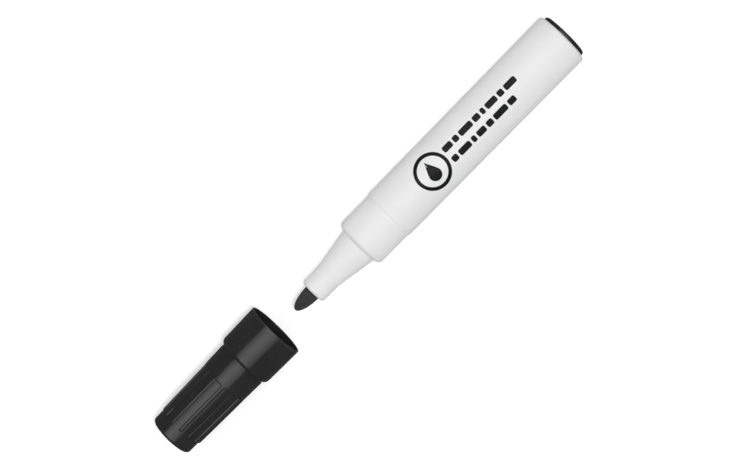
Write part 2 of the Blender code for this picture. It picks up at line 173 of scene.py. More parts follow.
def finish_mesh(piece, sharp_angle=30):
    """Faces out, smooth with sharp corners kept, and back in object mode."""
    bpy.ops.object.mode_set(mode="EDIT")
    bpy.ops.mesh.select_all(action="SELECT")
    bpy.ops.mesh.normals_make_consistent(inside=False)
    bpy.ops.object.mode_set(mode="OBJECT")
    bpy.ops.object.select_all(action="DESELECT")
    piece.select_set(True)
    bpy.context.view_layer.objects.active = piece
    bpy.ops.object.shade_smooth_by_angle(angle=math.radians(sharp_angle))
    print(f"{piece.name}: {len(piece.data.polygons)} faces")
    return piece


# %% [markdown]
# ## The barrel
#
# The real barrel is a tube of white polypropylene. It is moulded round a long core pin, so it is a
# little wider at the tail, and its rim is rolled over where the plug goes in. A cylinder with a
# Solidify modifier would give the wall, but not the seat for the plug, so the inside is turned too.

# %% Barrel
BARREL_DRAFT = 0.22 * MM
BARREL_WALL = 1.52 * MM
PLUG_FIT = 0.07 * MM
SEAT_DEPTH = 10.2 * MM
FRONT_RADIUS = TAIL_RADIUS - BARREL_DRAFT
BARREL_BORE = TAIL_RADIUS - BARREL_WALL
PLUG_SEAT = PLUG_RADIUS + PLUG_FIT

barrel = turned(
    "barrel_shell",
    [
        (SEAM, BARREL_BORE),
        (SEAM, FRONT_RADIUS),
        (TAIL, TAIL_RADIUS),
        (TAIL, PLUG_SEAT),
        (TAIL - SEAT_DEPTH, PLUG_SEAT),
        (TAIL - SEAT_DEPTH, BARREL_BORE),
    ],
    closed=True,
)
soften(barrel, TAIL, TAIL_RADIUS, width=1.22 * MM, segments=10)
soften(barrel, SEAM, FRONT_RADIUS, width=0.07 * MM, segments=3)
finish_mesh(barrel)

# %% [markdown]
# ## The nib holder
#
# One moulding carries the nib. From the front: a short nose, a long cone, a rounded shoulder and the
# collar that the cap slides over, then a spigot that is pushed into the barrel. The cone meets the
# nose at a shallow angle, so that ring needs only a small bevel. The shoulder gets a generous one.

# %% Nib holder
NOSE_LENGTH = 7.1 * MM
COLLAR_LENGTH = 13.45 * MM
NOSE_RADIUS = 4.52 * MM
NOSE_DRAFT = 0.12 * MM
CONE_RADIUS = 6.72 * MM
NIB_FIT = 0.06 * MM
SPIGOT_FIT = 0.08 * MM
SPIGOT_WALL = 0.85 * MM
HOLLOW_FRONT = 1.4 * MM  # how far behind the shoulder the hollow for the reservoir starts
FUNNEL_ROOM = 1 * MM  # how much wider than the nib its hole is there
FUNNEL_END = 15 * MM  # how far behind the nose it has narrowed to the nib

CONE_FRONT = NOSE_FACE + NOSE_LENGTH
SHOULDER = SEAM - COLLAR_LENGTH
NIB_HOLE = NIB_RADIUS + NIB_FIT
SPIGOT_RADIUS = BARREL_BORE - SPIGOT_FIT
SPIGOT_BORE = SPIGOT_RADIUS - SPIGOT_WALL
NOSE_FACE_RADIUS = NOSE_RADIUS - NOSE_DRAFT

holder = turned(
    "nib_holder_shell",
    [
        (NOSE_FACE, NIB_HOLE),
        (NOSE_FACE, NOSE_FACE_RADIUS),
        (CONE_FRONT, NOSE_RADIUS),
        (SHOULDER, CONE_RADIUS),
        (SHOULDER, COLLAR_RADIUS),
        (COLLAR_END, COLLAR_RADIUS),
        (COLLAR_END, SPIGOT_RADIUS),
        (SPIGOT_END, SPIGOT_RADIUS),
        (SPIGOT_END, SPIGOT_BORE),
        (SHOULDER + HOLLOW_FRONT, SPIGOT_BORE),
        (SHOULDER + HOLLOW_FRONT, NIB_HOLE + FUNNEL_ROOM),
        (NOSE_FACE + FUNNEL_END, NIB_HOLE),
    ],
    closed=True,
)
soften(holder, SHOULDER, COLLAR_RADIUS, width=1.76 * MM, segments=12)
soften(holder, SHOULDER, CONE_RADIUS, width=0.3 * MM, segments=5)
soften(holder, CONE_FRONT, NOSE_RADIUS, width=0.5 * MM, segments=4)
soften(holder, NOSE_FACE, NOSE_FACE_RADIUS, width=0.95 * MM, segments=8)
soften(holder, NOSE_FACE, NIB_HOLE, width=0.08 * MM, segments=2)
soften(holder, COLLAR_END, COLLAR_RADIUS, width=0.05 * MM, segments=2)
finish_mesh(holder)

# %% [markdown]
# ## The nib
#
# The nib is a rod of bonded fibre, ground to a bullet point. The point is a quarter of an ellipse, so
# its rings come from a formula. The foremost ring is tiny, and is collapsed to one point at the tip.

# %% Nib
POINT_RINGS = 18
POINT_LENGTH = NOSE_FACE - NIB_TIP
TIP_SHARE = 0.02  # the last ring, before it is collapsed
TAIL_TAPER = 2.5 * MM
TAIL_RING = NIB_RADIUS / 2


def point_station(step):
    """One ring of the bullet, on a quarter ellipse."""
    angle = math.radians(90) * step / POINT_RINGS
    return NIB_TIP + POINT_LENGTH * (1 - math.cos(angle)), NIB_RADIUS * math.sin(angle)


stations = [point_station(step) for step in range(1, POINT_RINGS + 1)]
nib = turned(
    "nib_point",
    [
        (NIB_TIP, NIB_RADIUS * TIP_SHARE),
        *stations,
        (NIB_BACK - TAIL_TAPER, NIB_RADIUS),
        (NIB_BACK, TAIL_RING),
    ],
    columns=SMALL_COLUMNS,
)
pick(nib, "vertices", lambda ends: ends[0].x < NIB_TIP + NEAR)
bpy.ops.mesh.merge(type="CENTER")
cap_off(nib, NIB_BACK, TAIL_RING)
finish_mesh(nib, sharp_angle=40)

# %% [markdown]
# ## The tail plug
#
# A black cup pressed into the tail. Only its face shows, just proud of the barrel, with a rounded edge.
# A small dimple marks where the plastic was injected: an inset of the face, pushed in and softened.

# %% Tail plug
GATE_RADIUS = 1.1 * MM
GATE_FLOOR = GATE_RADIUS * 0.8
GATE_DEPTH = 0.18 * MM
PLUG_WALL = 1.2 * MM
PLUG_BORE = PLUG_RADIUS - PLUG_WALL

plug = turned(
    "tail_plug_shell",
    [
        (TAIL - PLUG_WALL, PLUG_BORE),
        (PLUG_FRONT, PLUG_BORE),
        (PLUG_FRONT, PLUG_RADIUS),
        (PLUG_FACE, PLUG_RADIUS),
        (PLUG_FACE, GATE_RADIUS),
        (PLUG_FACE - GATE_DEPTH, GATE_FLOOR),
    ],
)
cap_off(plug, PLUG_FACE - GATE_DEPTH, GATE_FLOOR)
cap_off(plug, TAIL - PLUG_WALL, PLUG_BORE)
soften(plug, PLUG_FACE, PLUG_RADIUS, width=0.9 * MM, segments=8)
soften(plug, PLUG_FACE, GATE_RADIUS, width=0.08 * MM, segments=3)
finish_mesh(plug)

# %% [markdown]
# ## The cap
#
# The cap is the busiest moulding. From the mouth: a wide collar section with a thin rim and a rounded
# shoulder, a fine groove, a plain ring, and then the grip, where thirteen narrow ribs stand on a
# slightly smaller cone. The ribs stop short of the closed end.
#
# The ribs could be thirteen bars joined to a plain cap with a Boolean. Raising them out of the cap's
# own skin was chosen instead: the circle has 24 columns of faces for each rib, and the rib's columns
# are scaled outwards, ring by ring. That keeps one clean surface, with no seam at the rib's foot.

# %% Cap sizes
RIBS = 13
COLUMNS_PER_RIB = 24
RIB_HEIGHT = 0.42 * MM
RIB_TURN = math.radians(6)
RIB_INSET = 0.02 * MM  # keeps the crests just inside the ring

COLLAR_DRAFT = 0.25 * MM
RING_RADIUS = 8.58 * MM
RING_BACK_RADIUS = 8.38 * MM
GROOVE_RADIUS = RING_RADIUS - 0.16 * MM
GRIP_RADIUS = 7.99 * MM
END_RADIUS = 7.58 * MM
BAND_RADIUS = END_RADIUS - 0.02 * MM
RIM_WALL = 0.64 * MM
MOUTH_BORE = MOUTH_RADIUS - RIM_WALL
MIDDLE_BORE = 7.22 * MM
GRIP_BORE = 6.15 * MM

# Depths, measured from the mouth
SHOULDER_DEPTH = 14.54 * MM
RING_DEPTH = 15.34 * MM
GRIP_DEPTH = 23.54 * MM
RIB_END_DEPTH = 43.03 * MM
STEP_DEPTH = 13.82 * MM
FLOOR_DEPTH = 45.48 * MM
print(f"{RIBS} ribs, each {(RIB_END_DEPTH - GRIP_DEPTH) / MM:.1f} mm long")

# %% [markdown]
# The skin needs rings where its outline changes: close together where the ring zone rounds off and
# where the ribs ramp down, and only a few in between. A long face beside a rounding gets one more ring
# near it, because smooth shading would otherwise carry the rounding's bend along the whole face.

# %% Rings across the grip
SUPPORT = 0.3 * MM
RAMP = 0.85 * MM
RING_ROUND = 0.7 * MM
ROUND_RINGS, GRIP_RINGS, RAMP_RINGS = 10, 4, 8


def grip_radius(depth):
    """The floor between the ribs: a quarter ellipse down from the ring, then a cone to the plain band."""
    if depth < GRIP_DEPTH:
        share = 1 - (GRIP_DEPTH - depth) / RING_ROUND
        return GRIP_RADIUS + (RING_BACK_RADIUS - GRIP_RADIUS) * math.sqrt(1 - share**2)
    share = (depth - GRIP_DEPTH) / (RIB_END_DEPTH - GRIP_DEPTH)
    return GRIP_RADIUS + (END_RADIUS - GRIP_RADIUS) * share


grip_depths = [
    GRIP_DEPTH - RING_ROUND * (1 - math.sin(math.radians(step * 90 / ROUND_RINGS)))
    for step in range(1, ROUND_RINGS + 1)
]
grip_depths += [GRIP_DEPTH + SUPPORT]
grip_depths += [
    GRIP_DEPTH + (RIB_END_DEPTH - RAMP - GRIP_DEPTH) * step / GRIP_RINGS for step in range(1, GRIP_RINGS + 1)
]
grip_depths += [RIB_END_DEPTH - RAMP * step / RAMP_RINGS for step in range(RAMP_RINGS - 1, -1, -1)]
print(len(grip_depths), "rings across the grip")

# %% [markdown]
# The shoulder is a quarter ellipse as well. With it the whole outline is known: from the floor inside,
# out to the mouth, and back over the skin to the dimple in the closed end.

# %% Cap outline
SHOULDER_LENGTH = 1.7 * MM
SHOULDER_STEPS = 14


def shoulder_station(step):
    """A quarter ellipse from the collar section down to the ring zone."""
    angle = math.radians(90) * step / SHOULDER_STEPS
    top = MOUTH_RADIUS - COLLAR_DRAFT
    depth = SHOULDER_DEPTH - SHOULDER_LENGTH * (1 - math.sin(angle))
    return depth, top - (top - RING_RADIUS) * (1 - math.cos(angle))


cap_stations = [
    (0, MOUTH_RADIUS),
    *[shoulder_station(step) for step in range(SHOULDER_STEPS + 1)],
    (SHOULDER_DEPTH, GROOVE_RADIUS),
    (RING_DEPTH, GROOVE_RADIUS),
    (RING_DEPTH, RING_RADIUS),
    (GRIP_DEPTH - RING_ROUND, RING_BACK_RADIUS),
    *[(depth, grip_radius(depth)) for depth in grip_depths],
    (CAP_LENGTH, BAND_RADIUS),
    (CAP_LENGTH, GATE_RADIUS),
    (CAP_LENGTH - GATE_DEPTH, GATE_FLOOR),
]
cap_inside = [
    (0, MOUTH_BORE),
    (SUPPORT, MOUTH_BORE),
    (STEP_DEPTH, MOUTH_BORE),
    (STEP_DEPTH, MIDDLE_BORE),
    (GRIP_DEPTH, MIDDLE_BORE),
    (GRIP_DEPTH, GRIP_BORE),
    (FLOOR_DEPTH, GRIP_BORE),
]
outline = [(CAP_MOUTH - depth, radius) for depth, radius in [*reversed(cap_inside), *cap_stations]]
cap = turned("cap_shell", outline, columns=RIBS * COLUMNS_PER_RIB)
cap_off(cap, *outline[0])
cap_off(cap, *outline[-1])

# %% [markdown]
# Now the ribs. The place of a vertex says how many columns it is from the nearest rib's middle. There
# the rib has its full height. It rounds off over the next three columns and drops to the floor at the
# fourth. Near its end the rib ramps down along a quarter circle, as a cutter that leaves the mould
# would shape it. At the front the crests run out into the ring, so the ring's back edge is rounded
# only in the valleys between them.

# %% Cap ribs
COLUMN_ANGLE = math.tau / (RIBS * COLUMNS_PER_RIB)
FLANK = {0: 1.0, 1: 0.985, 2: 0.93, 3: 0.76}  # share of the full height, by columns from the middle
FOOT = len(FLANK)
PLAN_ROUNDING = 0.6  # the share of the ramp by which the foot ends before the crest


def columns_from_rib(point):
    """How many columns a vertex is from the middle of the nearest rib."""
    angle = math.atan2(-point.y, point.z - AXIS) - RIB_TURN
    pitch = math.tau / RIBS
    away = (angle + pitch / 2) % pitch - pitch / 2
    return round(abs(away) / COLUMN_ANGLE)


def rib_height(depth, columns):
    """How far the rib stands up at a depth and that many columns from its middle."""
    full = min(RIB_HEIGHT, RING_BACK_RADIUS - RIB_INSET - grip_radius(depth))
    left = (RIB_END_DEPTH - depth) / RAMP
    # The end is rounded in plan too: the flanks stop before the crest does.
    left -= (columns / FOOT) ** 2 * PLAN_ROUNDING
    ramp = 1 if left >= 1 else math.sqrt(max(0, 1 - (1 - max(left, 0)) ** 2))
    return full * FLANK[columns] * ramp


bpy.ops.object.mode_set(mode="EDIT")
bpy.ops.mesh.select_all(action="SELECT")
# With no window open, the rotate operator turns the other way, so the angle is negative here.
bpy.ops.transform.rotate(value=-RIB_TURN, orient_axis="X", center_override=(CAP_MOUTH, 0, AXIS))
for depth in grip_depths:
    x, base = CAP_MOUTH - depth, grip_radius(depth)
    for columns in FLANK:
        lift = rib_height(depth, columns)
        if lift < NEAR:
            continue
        pick(cap, "vertices", lambda ends: on_ring(ends[0], x, base) and columns_from_rib(ends[0]) == columns)
        grown = 1 + lift / base
        bpy.ops.transform.resize(value=(1, grown, grown), center_override=(x, 0, AXIS))

soften(cap, CAP_MOUTH - STEP_DEPTH, MOUTH_BORE, width=2.0 * MM, segments=8)
soften(cap, CAP_MOUTH - RING_DEPTH, RING_RADIUS, width=0.1 * MM, segments=3)
soften(cap, CAP_END, BAND_RADIUS, width=1.15 * MM, segments=10)
for rim_radius in (MOUTH_RADIUS, MOUTH_BORE):
    soften(cap, CAP_MOUTH, rim_radius, width=0.2 * MM, segments=4)
finish_mesh(cap, sharp_angle=35)

# %% [markdown]
# ## The inner cap
#
# Deep inside the cap sits a small cup of softer plastic. It closes on the nose of the nib holder and
# keeps the nib from drying. It is turned like the others, with a flared lip to find the nose.

# %% Inner cap
SEAL_ROOM = 0.2 * MM
CUP_WALL = 0.9 * MM
CUP_BASE = 1.2 * MM
FOOT_LENGTH = 3 * MM
LIP_LENGTH = 0.6 * MM
CUP_BORE = NOSE_RADIUS + SEAL_ROOM
CUP_RADIUS = CUP_BORE + CUP_WALL
CUP_FOOT = CUP_RADIUS + 0.33 * MM
CUP_LIP = CUP_BORE + 0.3 * MM

cup = turned(
    "inner_cap_cup",
    [
        (CUP_BACK, CUP_FOOT),
        (CUP_BACK + FOOT_LENGTH, CUP_FOOT),
        (CUP_BACK + FOOT_LENGTH, CUP_RADIUS),
        (CUP_MOUTH, CUP_RADIUS),
        (CUP_MOUTH, CUP_LIP),
        (CUP_MOUTH - LIP_LENGTH, CUP_BORE),
        (CUP_BACK + CUP_BASE, CUP_BORE),
    ],
    columns=SMALL_COLUMNS,
)
cap_off(cup, CUP_BACK, CUP_FOOT)
cap_off(cup, CUP_BACK + CUP_BASE, CUP_BORE)
soften(cup, CUP_MOUTH, CUP_RADIUS, width=0.25 * MM, segments=4)
soften(cup, CUP_MOUTH, CUP_LIP, width=0.2 * MM, segments=4)
finish_mesh(cup)

# %% [markdown]
# ## Shader sums
#
# The rest of the look is in the materials. A node tree is hard to read in code, so two short classes
# make it readable. `Signal` wraps one socket, and lets sums be written as sums. `Finish` holds one
# material, and its `node` method adds any other node with its settings and its inputs.

# %% Signal and Finish
class Signal:
    """A shader socket that can be used in sums: each operator adds a Math node."""

    def __init__(self, finish, socket):
        self.finish, self.socket = finish, socket

    def math(self, operation, left, right):
        return self.finish.node("ShaderNodeMath", {"operation": operation}, {0: left, 1: right})

    def __add__(self, other):
        return self.math("ADD", self, other)

    def __sub__(self, other):
        return self.math("SUBTRACT", self, other)

    def __rsub__(self, other):
        return self.math("SUBTRACT", other, self)

    def __mul__(self, other):
        return self.math("MULTIPLY", self, other)

    def __pow__(self, other):
        return self.math("POWER", self, other)

    __radd__ = __add__


class Finish:
    """One material, with constants set straight on the shader and signals fed in from nodes."""

    def __init__(self, name, constants):
        self.material = bpy.data.materials.new(name)
        self.material.use_nodes = True
        self.tree = self.material.node_tree
        self.shader = self.tree.nodes["Principled BSDF"]
        for socket, value in constants.items():
            self.shader.inputs[socket].default_value = value
        self.place = self.node("ShaderNodeTexCoord", {}, {}, "Object")

    def node(self, kind, settings, sockets, output=0):
        made = self.tree.nodes.new(kind)
        for setting, value in settings.items():
            setattr(made, setting, value)
        for socket, value in sockets.items():
            if isinstance(value, Signal):
                self.tree.links.new(value.socket, made.inputs[socket])
            else:
                made.inputs[socket].default_value = value
        return Signal(self, made.outputs[output])

    def feed(self, socket, signal):
        self.tree.links.new(signal.socket, self.shader.inputs[socket])

    def noise(self, size, stretch=(1, 1, 1), detail=2.0, roughness=0.5):
        """Noise whose lumps are about `size` metres across, times `stretch` along each axis."""
        scale = tuple(1 / (size * times) for times in stretch)
        spread = self.node("ShaderNodeMapping", {"vector_type": "POINT"}, {0: self.place, 3: scale})
        sockets = {"Vector": spread, "Scale": 1.0, "Detail": detail, "Roughness": roughness}
        return self.node("ShaderNodeTexNoise", {}, sockets)

    def between(self, signal, low, high, start=0.0, end=1.0):
        """Maps low..high to start..end and holds it there."""
        sockets = {0: signal, 1: low, 2: high, 3: start, 4: end}
        return self.node("ShaderNodeMapRange", {"clamp": True}, sockets)

    def mix(self, share, first, second):
        return self.node("ShaderNodeMix", {"data_type": "RGBA"}, {0: share, 6: first, 7: second}, 2)

    def raise_bumps(self, height, depth):
        """A signal of 0 to 1 as real relief: depth is how high 1 stands, in metres."""
        self.feed("Normal", self.node("ShaderNodeBump", {}, {"Distance": depth, "Height": height}))


def grey(value):
    return (value, value, value, 1.0)


# %% [markdown]
# ## White polypropylene
#
# The barrel and the nib holder share one white. New polypropylene is satin: the mould leaves a very
# fine skin, and melt that flowed along the tube leaves faint streaks. Handling adds hairline scuffs.
# The streaks are noise stretched along the axis. The scuffs are finer noise, stretched the other way
# and cut off so that only its peaks show. They are dull more than they are dark.

# %% White finish
def white_plastic():
    finish = Finish("white_polypropylene", {"IOR": 1.49, "Specular IOR Level": 0.45})
    streaks = finish.noise(0.9 * MM, (14, 1, 1), 3)
    skin = finish.noise(0.16 * MM, detail=3)
    cloud = finish.noise(7 * MM)
    scuffs = finish.between(finish.noise(0.3 * MM, (1, 9, 9), 4, 0.7), 0.62, 0.7)
    worn = scuffs * finish.between(cloud, 0.45, 0.6)
    tone = streaks * 0.35 + cloud * 0.4 + skin * 0.25
    colour = finish.mix(finish.between(tone, 0.35, 0.65), grey(0.82), grey(0.85))
    finish.feed("Base Color", finish.mix(worn * 0.5, colour, grey(0.76)))
    finish.feed("Roughness", 0.46 + finish.between(streaks, 0.3, 0.7, -0.03, 0.03) + worn * 0.12)
    finish.raise_bumps(skin * 0.5 + streaks * 0.5, 0.004 * MM)
    return finish.material


white = white_plastic()

# %% [markdown]
# ## Black polypropylene
#
# The cap and plug are the same plastic, black and a little glossier. A cap is handled most, so its
# ribs are polished on their crests. The crest mask is worked out from the distance to the axis: above
# the floor of the grip there is only rib. The rim of the mouth is painted paler. This is a painted
# highlight that stands for the thin bright line the light draws along its edge. Fine scratches run round
# the cap, from turning it. The bore of the mouth comes off a polished core pin, and mirrors the dark
# inside of the cap. The plug lies within the same radius, so its face is as smooth.

# %% Black finish
def black_plastic():
    finish = Finish("black_polypropylene", {"IOR": 1.49, "Specular IOR Level": 0.7})
    x, y, z = (finish.node("ShaderNodeSeparateXYZ", {}, {0: finish.place}, axis) for axis in "XYZ")
    radius = (y * y + (z - AXIS) * (z - AXIS)) ** 0.5
    grip_start, grip_end = CAP_MOUTH - GRIP_DEPTH, CAP_MOUTH - RIB_END_DEPTH
    valley = finish.between(x, grip_end, grip_start, END_RADIUS, GRIP_RADIUS)
    in_grip = finish.between(x, grip_start - 0.2 * MM, grip_start, 1.0, 0.0)
    crest = finish.between(radius - valley, RIB_HEIGHT * 0.6, RIB_HEIGHT * 0.95) * in_grip
    skin = finish.noise(0.14 * MM, detail=3)
    cloud = finish.noise(5 * MM)
    scratches = finish.between(finish.noise(0.12 * MM, (1, 14, 14), 3, 0.65), 0.62, 0.68)
    worn = scratches * finish.between(cloud, 0.42, 0.62)
    tone = finish.mix(finish.between(cloud * 0.6 + skin * 0.4, 0.35, 0.65), grey(0.0165), grey(0.021))
    tone = finish.mix(worn * 0.35, tone, grey(0.034))
    # Painted highlight: a band at the mouth's rim is made paler in colour. It stands in for the bright line
    # that light draws along that edge.
    near_mouth = finish.between(x, CAP_MOUTH - MM, CAP_MOUTH)
    near_mouth = near_mouth * finish.between(x, CAP_MOUTH, CAP_MOUTH + MM, 1.0, 0.0)
    painted_rim_highlight = near_mouth * finish.between(radius, MOUTH_BORE + 0.1 * MM, MOUTH_BORE + 0.3 * MM)
    tone = finish.mix(crest * 0.3, tone, grey(0.026))
    # The painted rim highlight is mixed into the base colour here.
    finish.feed("Base Color", finish.mix(painted_rim_highlight * 0.5, tone, grey(0.045)))
    past_step = finish.between(x, CAP_MOUTH - STEP_DEPTH, CAP_MOUTH - STEP_DEPTH + MM)
    bore = finish.between(radius, MOUTH_BORE - 0.1 * MM, MOUTH_BORE + 0.1 * MM, 1.0, 0.0) * past_step
    finish.feed("Roughness", 0.13 + skin * 0.05 + worn * 0.12 - crest * 0.03 - bore * 0.1)
    finish.raise_bumps(skin * (1 - bore), 0.002 * MM)
    return finish.material


black = black_plastic()

# %% [markdown]
# ## Nib fibre and ink
#
# The nib is a bundle of fibres that run along it, soaked with black ink. Fibre reads as long, thin
# streaks in tone and in relief, with hardly any gloss. The printed marks are a thin film of ink, a
# little matt, with pinholes where the ink missed the plastic.

# %% Nib and print finishes
def nib_fibre():
    finish = Finish("inked_fibre", {"Specular IOR Level": 0.25, "Sheen Weight": 0.05, "Sheen Roughness": 0.6})
    fibres = finish.noise(0.06 * MM, (26, 1, 1), 4, 0.6)
    pores = finish.noise(0.05 * MM, detail=3)
    wear = finish.noise(1.6 * MM)
    tone = fibres * 0.6 + pores * 0.25 + wear * 0.15
    finish.feed("Base Color", finish.mix(finish.between(tone, 0.35, 0.65), grey(0.025), grey(0.048)))
    finish.feed("Roughness", finish.between(fibres, 0.3, 0.7, 0.7, 0.92))
    finish.raise_bumps(fibres * 0.7 + pores * 0.3, 0.03 * MM)
    return finish.material


def printed_ink():
    finish = Finish("printed_ink", {"Specular IOR Level": 0.25})
    grain = finish.noise(0.08 * MM, detail=4)
    patches = finish.noise(1.2 * MM, (3, 1, 1))
    pinholes = finish.between(grain, 0.68, 0.74) * finish.between(patches, 0.5, 0.65)
    base = finish.mix(finish.between(patches, 0.3, 0.7), grey(0.006), grey(0.01))
    finish.feed("Base Color", finish.mix(pinholes * 0.7, base, grey(0.2)))
    finish.feed("Roughness", finish.between(grain, 0.3, 0.7, 0.34, 0.5))
    finish.raise_bumps(grain, 0.003 * MM)
    return finish.material


fibre, ink = nib_fibre(), printed_ink()

# %% [markdown]
# ## What is inside
#
# The sealing cup is soft, unpigmented polyethylene, milky and waxy. The reservoir is a rod of loose
# polyester fibre, its film sleeve is clear and wrinkled, and the breather tube is like the film but
# drawn. None of them shows with the marker closed. They are finished all the same, for a cutaway.

# %% Hidden finishes
def seal_plastic():
    finish = Finish("milky_polyethylene", {"Subsurface Weight": 0.15, "Specular IOR Level": 0.4})
    cloud = finish.noise(1.8 * MM, detail=3)
    skin = finish.noise(0.12 * MM, detail=3)
    finish.feed("Base Color", finish.mix(finish.between(cloud, 0.3, 0.7), grey(0.56), grey(0.64)))
    finish.feed("Roughness", finish.between(skin, 0.3, 0.7, 0.4, 0.5))
    finish.raise_bumps(skin, 0.004 * MM)
    return finish.material


def reservoir_fibre():
    finish = Finish("reservoir_fibre", {"Specular IOR Level": 0.2})
    fibres = finish.noise(0.12 * MM, (22, 1, 1), 5, 0.65)
    soaked = finish.noise(6 * MM, (3, 1, 1))
    wet = finish.mix(finish.between(soaked, 0.35, 0.65), grey(0.05), grey(0.02))
    finish.feed("Base Color", finish.mix(finish.between(fibres, 0.55, 0.75) * 0.5, wet, grey(0.13)))
    finish.feed("Roughness", finish.between(fibres, 0.3, 0.7, 0.75, 0.95))
    finish.raise_bumps(fibres, 0.05 * MM)
    return finish.material


def clear_film(name, wrinkle, light, dark):
    finish = Finish(name, {"Specular IOR Level": 0.6})
    wrinkles = finish.noise(wrinkle, (5, 1, 1), 3, 0.6)
    finish.feed("Base Color", finish.mix(finish.between(wrinkles, 0.35, 0.65), grey(dark), grey(light)))
    finish.feed("Roughness", finish.between(wrinkles, 0.3, 0.7, 0.16, 0.26))
    finish.raise_bumps(wrinkles, 0.02 * MM)
    return finish.material


seal = seal_plastic()
for node, material in (
    ("ink_core", reservoir_fibre()),
    ("core_film", clear_film("sleeve_film", 0.7 * MM, 0.5, 0.36)),
    ("breather_tube", clear_film("drawn_tube", 0.3 * MM, 0.62, 0.5)),
):
    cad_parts[node].material_slots[0].material = material
    print(node, "wears", material.name)

# %% [markdown]
# ## Printed marks
#
# The barrel carries a badge and two lines of print. Here they are generic: a ring with a drop of ink in
# it, and two rows of plain rounded bars that say nothing. Each is drawn flat above the barrel, dropped
# on to it with a Shrinkwrap modifier that looks straight down, and given the thickness of a film of ink.
#
# A decal would be lighter, but needs an image. A mesh keeps a crisp edge at any distance.

# %% Laying print on the barrel
PRINT_LIFT = 0.01 * MM
PRINT_THICKNESS = 0.025 * MM
DRAWN_AT = AXIS + 15 * MM


def lay_on_barrel(piece):
    """Drops a flat drawing on to the barrel and gives it the thickness of ink."""
    bpy.ops.object.mode_set(mode="OBJECT")
    drop = piece.modifiers.new("drop", "SHRINKWRAP")
    drop.target = barrel
    drop.wrap_method = "PROJECT"
    drop.use_project_z = True
    drop.use_positive_direction = False
    drop.use_negative_direction = True
    drop.offset = PRINT_LIFT
    bpy.ops.object.modifier_apply(modifier="drop")
    film = piece.modifiers.new("film", "SOLIDIFY")
    film.thickness = PRINT_THICKNESS
    film.offset = 1
    bpy.ops.object.modifier_apply(modifier="film")
    return finish_mesh(piece)


def face_up():
    """Turns a flat drawing's faces up, so that its thickness grows away from the barrel."""
    bpy.ops.mesh.select_all(action="SELECT")
    bpy.ops.mesh.normals_make_consistent(inside=False)
    drawn = bmesh.from_edit_mesh(bpy.context.object.data)
    if sum(face.normal.z for face in drawn.faces) < 0:
        bpy.ops.mesh.flip_normals()


def flat_circle(name, centre, radius, steps, points):
    """A flat disc or ring drawn inwards: each step is the next ring's share of the first radius."""
    bpy.ops.object.select_all(action="DESELECT")
    bpy.ops.mesh.primitive_circle_add(vertices=points, radius=radius, location=(*centre, DRAWN_AT))
    piece = bpy.context.object
    piece.name = piece.data.name = name
    bpy.ops.object.transform_apply(location=True, rotation=True, scale=True)
    bpy.ops.object.mode_set(mode="EDIT")
    bpy.ops.mesh.select_all(action="SELECT")
    before = 1.0
    for share in steps:
        bpy.ops.mesh.extrude_edges_move(TRANSFORM_OT_translate={"value": (0, 0, 0)})
        grown = share / before
        bpy.ops.transform.resize(value=(grown, grown, 1), center_override=(*centre, DRAWN_AT))
        before = share
    return piece


# %% [markdown]
# The badge is a ring, and a drop drawn from a disc: the rings in its upper half are narrowed and lifted
# until they meet in a point.

# %% Badge
BADGE_AT = (SEAM + 19.2 * MM, -0.35 * MM)
BADGE_RADIUS = 6.0 * MM
RING_STEPS = (0.94, 0.87, 0.81)
DROP_RADIUS = 2.15 * MM
DROP_STEPS = (0.8, 0.6, 0.4, 0.2, 0.02)
DROP_SHIFT = 1.2 * MM  # the round part sits below the middle, to leave room for the point

ring = flat_circle("print_ring", BADGE_AT, BADGE_RADIUS, RING_STEPS, points=96)
face_up()
lay_on_barrel(ring)

drop_centre = (BADGE_AT[0], BADGE_AT[1] - DROP_SHIFT)
drop = flat_circle("print_drop", drop_centre, DROP_RADIUS, DROP_STEPS, points=48)
bpy.ops.mesh.merge(type="CENTER")
# The upper half is pulled up to a point, in bands from the top down, so that no band meets one that
# has moved. Each is (from, to, how much it narrows, how far it rises), in shares of the radius.
BANDS = ((0.93, 1.1, 0.2, 1.25), (0.75, 0.93, 0.55, 0.85), (0.5, 0.75, 0.74, 0.5), (0.2, 0.5, 0.9, 0.2))
for low, high, narrow, lift in BANDS:
    pick(drop, "vertices", lambda ends: low <= (ends[0].y - drop_centre[1]) / DROP_RADIUS < high)
    bpy.ops.transform.resize(value=(narrow, 1, 1), center_override=(*drop_centre, DRAWN_AT))
    bpy.ops.transform.translate(value=(0, lift * DROP_RADIUS, 0))
face_up()
lay_on_barrel(drop)

# %% [markdown]
# The bars start as planes in one mesh. Their corners are rounded by a vertex bevel, and cuts along the
# barrel let them bend round it.

# %% Rows of bars
ROWS_START = SEAM + 26.0 * MM
BAR_HEIGHT = 2.05 * MM
BAR_GAP = 0.75 * MM
BAR_CORNER = 0.28 * BAR_HEIGHT
CUTS = 7
# Each row: where its middle is across the barrel, and how long its bars are in millimetres
ROWS = (
    (1.72 * MM, (3.6, 2.0, 5.2, 2.6, 1.5, 4.4, 2.2, 4.6)),
    (-2.42 * MM, (2.2, 4.8, 1.6, 3.4, 2.4, 5.4, 2.9)),
)

